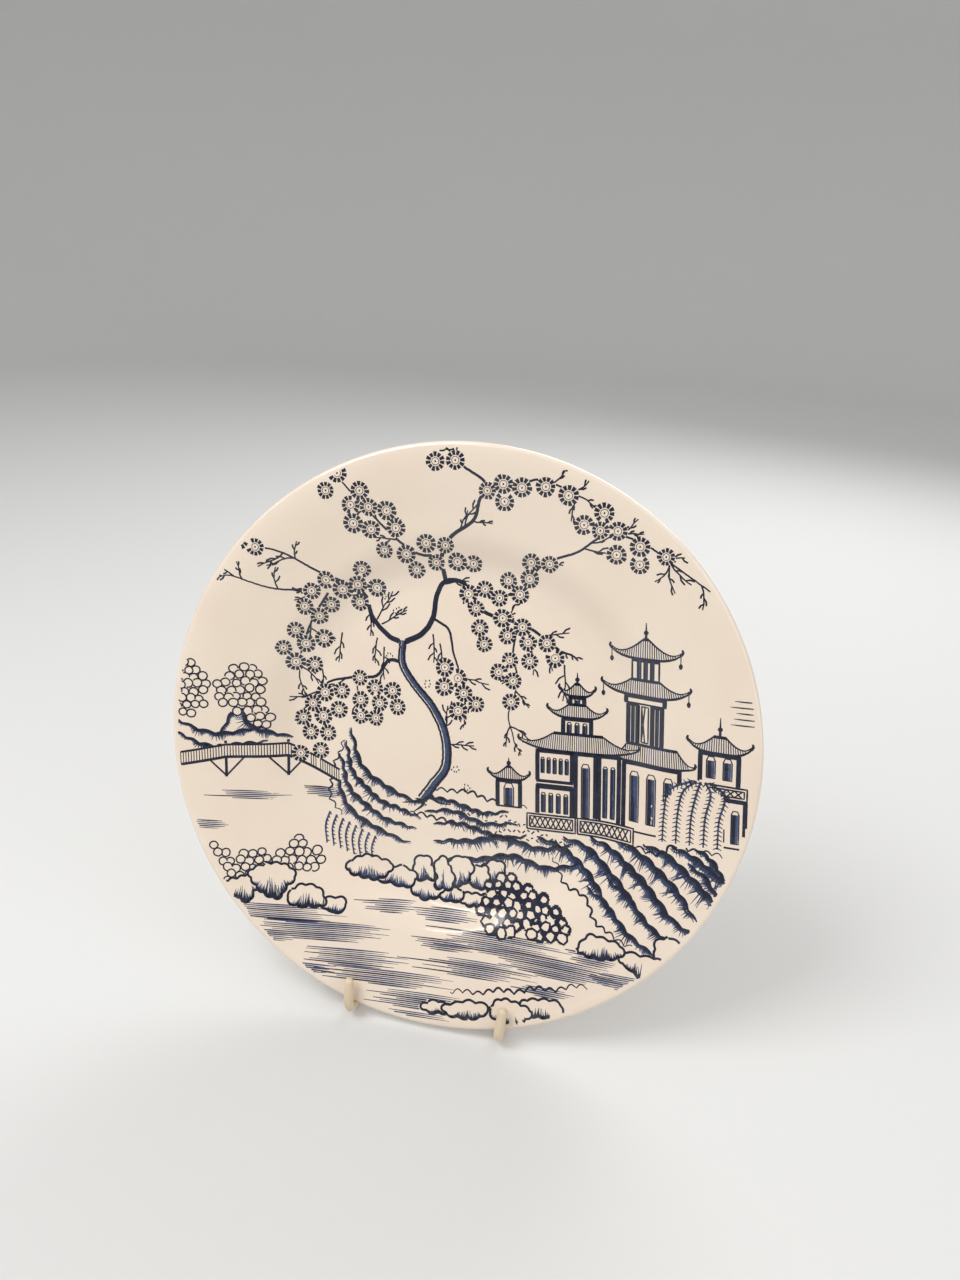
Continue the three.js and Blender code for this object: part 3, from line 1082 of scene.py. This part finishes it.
class Finish:
    def __init__(self, name, **constants):
        self.material = bpy.data.materials.new(name)
        self.material.use_nodes = True
        self.tree = self.material.node_tree
        self.shader = next(node for node in self.tree.nodes if node.type == "BSDF_PRINCIPLED")
        for key, value in constants.items():
            self.shader.inputs[key.replace("_", " ")].default_value = value
        self.place = self.node("ShaderNodeTexCoord", output="Object")

    def node(self, kind, settings=None, inputs=None, output=0):
        made = self.tree.nodes.new(kind)
        for key, value in (settings or {}).items():
            setattr(made, key, value)
        for key, value in (inputs or {}).items():
            self.feed(made.inputs[key], value)
        return Value(self, made.outputs[output])

    def feed(self, socket, value):
        if isinstance(value, Value):
            self.tree.links.new(value.socket, socket)
        else:
            socket.default_value = value

    def noise(self, perMetre, detail=3, roughness=0.5):
        inputs = {"Vector": self.place, "Scale": perMetre, "Detail": detail, "Roughness": roughness}
        return self.node("ShaderNodeTexNoise", inputs=inputs)

    def cells(self, perMetre):
        return self.node("ShaderNodeTexVoronoi", inputs={"Vector": self.place, "Scale": perMetre})

    def between(self, value, low, high):
        # 0 below low, 1 above high
        settings = {"interpolation_type": "SMOOTHSTEP"}
        inputs = {"Value": value, "From Min": low, "From Max": high}
        return self.node("ShaderNodeMapRange", settings, inputs)

    def blend(self, share, first, second):
        inputs = {"Factor": share, 6: first, 7: second}
        return self.node("ShaderNodeMix", {"data_type": "RGBA"}, inputs, output=2)

    def bump(self, height, depth, below=None):
        inputs = {"Height": height, "Distance": depth, "Strength": 1.0}
        if below:
            inputs["Normal"] = below
        return self.node("ShaderNodeBump", inputs=inputs)

    def finished(self, **varying):
        for key, value in varying.items():
            self.feed(self.shader.inputs[key.replace("_", " ")], value)
        return self.material


def colour(red, green, blue):
    return (red, green, blue, 1)


def ivoryVinyl():
    look = dict(
        fresh=colour(0.71, 0.59, 0.42), aged=colour(0.60, 0.47, 0.30), grime=colour(0.20, 0.16, 0.11),
    )
    finish = Finish("ivoryVinyl", IOR=1.5, Specular_IOR_Level=0.45, Sheen_Weight=0.05)
    cloudy = finish.between(finish.noise(60, detail=4), 0.42, 0.66)
    skin = finish.noise(900, detail=2)
    pits = finish.between(finish.cells(230), 0.10, 0.06) * (finish.noise(170) > 0.56)
    shade = finish.blend(cloudy * 0.45, look["fresh"], look["aged"])
    shade = finish.blend(pits * 0.85, shade, look["grime"])
    dimples = finish.bump(pits * -1, 0.08 * mm)
    orangePeel = finish.bump(skin, 0.035 * mm, dimples)
    rough = 0.34 + cloudy * 0.14 + pits * 0.2
    return finish.finished(Base_Color=shade, Roughness=rough, Normal=orangePeel)


def drawnSteel():
    look = dict(bright=colour(0.56, 0.56, 0.55), dull=colour(0.24, 0.22, 0.20))
    finish = Finish("drawnSteel", Metallic=1.0)
    worn = finish.between(finish.noise(700, detail=5), 0.40, 0.65)
    marks = finish.bump(finish.noise(4000), 0.01 * mm)
    shade = finish.blend(worn, look["bright"], look["dull"])
    return finish.finished(Base_Color=shade, Roughness=0.32 + worn * 0.25, Normal=marks)


def depthOnPlate(finish):
    # distance in front of the plate's middle plane
    split = finish.node("ShaderNodeSeparateXYZ", inputs={"Vector": finish.place}, output="Y")
    height = Value(finish, split.socket.node.outputs["Z"])
    toFront = -at(0, plateBack)
    offset = toFront.dot(at(0, plateCentre))
    return split * toFront.y + height * toFront.z - offset


glazeShine = dict(IOR=1.52, Coat_Weight=0.5, Coat_Roughness=0.03, Coat_IOR=1.5)


def whiteGlaze():
    look = dict(
        milk=colour(0.84, 0.715, 0.59), cream=colour(0.80, 0.665, 0.535),
        biscuit=colour(0.62, 0.50, 0.36), pinhole=colour(0.30, 0.22, 0.15),
    )
    finish = Finish("whiteGlaze", **glazeShine)
    cloudy = finish.between(finish.noise(22, detail=3), 0.35, 0.68)
    specks = finish.between(finish.cells(90), 0.045, 0.025) * (finish.noise(60) > 0.60)
    depth = depthOnPlate(finish)
    footEdge = plate["ringDepth"] + 0.35 * mm
    worn = finish.between(depth + finish.noise(500) * 0.3 * mm, footEdge + 0.3 * mm, footEdge)
    shade = finish.blend(cloudy * 0.6, look["milk"], look["cream"])
    shade = finish.blend(specks * 0.6, shade, look["pinhole"])
    shade = finish.blend(worn, shade, look["biscuit"])
    ripple = finish.bump(finish.noise(55, detail=1), 0.10 * mm)
    peel = finish.bump(finish.noise(420, detail=2), 0.006 * mm, ripple)
    return finish.finished(Base_Color=shade, Roughness=0.10 + cloudy * 0.04 + worn * 0.5, Normal=peel)


def printInk(name, deep, faded):
    finish = Finish(name, **glazeShine)
    uneven = finish.between(finish.noise(260, detail=4), 0.42, 0.68)
    patchy = finish.between(finish.noise(2400, detail=2), 0.55, 0.72)
    shade = finish.blend(uneven * 0.5 + patchy * 0.3, deep, faded)
    ripple = finish.bump(finish.noise(55, detail=1), 0.10 * mm)
    return finish.finished(Base_Color=shade, Roughness=0.12 + uneven * 0.05, Normal=ripple)


def dress(obj, material):
    obj.data.materials.clear()
    obj.data.materials.append(material)


vinyl, steel, glaze = ivoryVinyl(), drawnSteel(), whiteGlaze()
for obj in (frameCoating, strutCoating):
    dress(obj, vinyl)
for obj in (frameCore, railCore, strutCore):
    dress(obj, steel)
dress(glazedPlate, glaze)
dress(navyPrint, printInk("navyInk", colour(0.005, 0.007, 0.022), colour(0.016, 0.024, 0.062)))
dress(bluePrint, printInk("blueInk", colour(0.035, 0.055, 0.125), colour(0.09, 0.125, 0.23)))
print("finishes made")

# which body each piece moves with, and what it stands for
for obj, body, node, slot in (
    (frameCoating, "front_frame", "front_coating", "ivory_vinyl"),
    (frameCore, "front_frame", "front_wire", "steel_wire"),
    (railCore, "front_frame", "hinge_rail", "steel_wire"),
    (strutCoating, "strut", "strut_coating", "ivory_vinyl"),
    (strutCore, "strut", "strut_wire", "steel_wire"),
    (glazedPlate, "plate", "display_plate", "white_glaze"),
):
    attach(obj, body)
    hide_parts(node)
for obj in (navyPrint, bluePrint):
    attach(obj, "plate")

studio = dict(
    coveRadius=2.0, coveBend=0.8, coveHeight=2.3,
    paper=colour(0.67, 0.665, 0.65), paperShade=colour(0.61, 0.605, 0.59),
    keyPower=7.2, fillPower=3, backPower=6,
    stripPower=1.3, stripWidth=0.022, stripLength=1.5,
    sky=0.72,
)


def pourFloor():
    # a round sheet of paper that turns up all round
    startFresh()
    bpy.ops.mesh.primitive_circle_add(vertices=128, radius=studio["coveRadius"], fill_type="NGON")
    floor = bpy.context.object
    floor.name = "studioFloor"
    edit(floor)
    reach, height, bend = studio["coveRadius"], 0, studio["coveBend"]
    for step in range(1, 13):
        turn = math.pi / 2 * step / 12
        wide = studio["coveRadius"] + bend * math.sin(turn)
        rise = bend * (1 - math.cos(turn)) - height
        bpy.ops.mesh.extrude_region_move(TRANSFORM_OT_translate={"value": (0, 0, rise)})
        bpy.ops.transform.resize(value=(wide / reach, wide / reach, 1), center_override=(0, 0, 0))
        reach, height = wide, height + rise
    wall = studio["coveHeight"] - height
    bpy.ops.mesh.extrude_region_move(TRANSFORM_OT_translate={"value": (0, 0, wall)})
    bpy.ops.mesh.delete(type="ONLY_FACE")
    pick(floor)
    bpy.ops.object.shade_smooth_by_angle(angle=math.radians(30))
    finish = Finish("palePaper", Specular_IOR_Level=0.2)
    grain = finish.noise(300, detail=3)
    shade = finish.blend(grain * 0.08, studio["paper"], studio["paperShade"])
    dress(floor, finish.finished(Base_Color=shade, Roughness=0.75 + grain * 0.1))


def hangLight(name, place, target, power, size, height=None):
    lamp = bpy.data.lights.new(name, "AREA")
    lamp.energy, lamp.size = power, size
    if height:
        lamp.shape, lamp.size_y = "RECTANGLE", height
    obj = bpy.data.objects.new(name, lamp)
    bpy.context.scene.collection.objects.link(obj)
    obj.location = place
    obj.rotation_euler = (Vector(target) - Vector(place)).to_track_quat("-Z", "Y").to_euler()


def setCamera():
    # beside and above the plate's middle, as a standing person looks down at it
    view = dict(
        lens=27.14,
        fromPlate=Vector((76.1, -347.3, 205.0)) * mm,
        heading=math.radians(10.83), below=math.radians(23.57), roll=math.radians(3.03),
    )
    camera = bpy.data.objects.new("camera", bpy.data.cameras.new("camera"))
    bpy.context.scene.collection.objects.link(camera)
    camera.data.lens = view["lens"]
    camera.data.sensor_fit = "AUTO"
    camera.data.clip_start = 10 * mm
    turned = (
        Matrix.Rotation(view["heading"], 4, "Z")
        @ Matrix.Rotation(math.pi / 2 - view["below"], 4, "X")
        @ Matrix.Rotation(view["roll"], 4, "Z")
    )
    camera.matrix_world = Matrix.Translation(at(0, plateCentre) + view["fromPlate"]) @ turned
    bpy.context.scene.camera = camera


middle = at(0, plateCentre)
pourFloor()
hangLight("keyLight", (-0.52, -0.44, 1.10), middle, studio["keyPower"], 0.55)
hangLight("fillLight", (0.9, -0.5, 0.5), middle, studio["fillPower"], 0.9)
hangLight("backLight", (0.3, 0.9, 0.8), middle, studio["backPower"], 0.8)
for name, place in (("upperStrip", (-0.60, -0.55, 1.10)), ("lowerStrip", (-0.72, -0.69, 0.80))):
    hangLight(name, place, middle, studio["stripPower"], studio["stripLength"], studio["stripWidth"])
world = bpy.data.worlds.new("softSky")
world.use_nodes = True
world.node_tree.nodes["Background"].inputs["Color"].default_value = colour(0.93, 0.94, 0.96)
world.node_tree.nodes["Background"].inputs["Strength"].default_value = studio["sky"]
bpy.context.scene.world = world
bpy.context.scene.view_settings.view_transform = "Standard"
setCamera()
print("studio set")

startFresh()
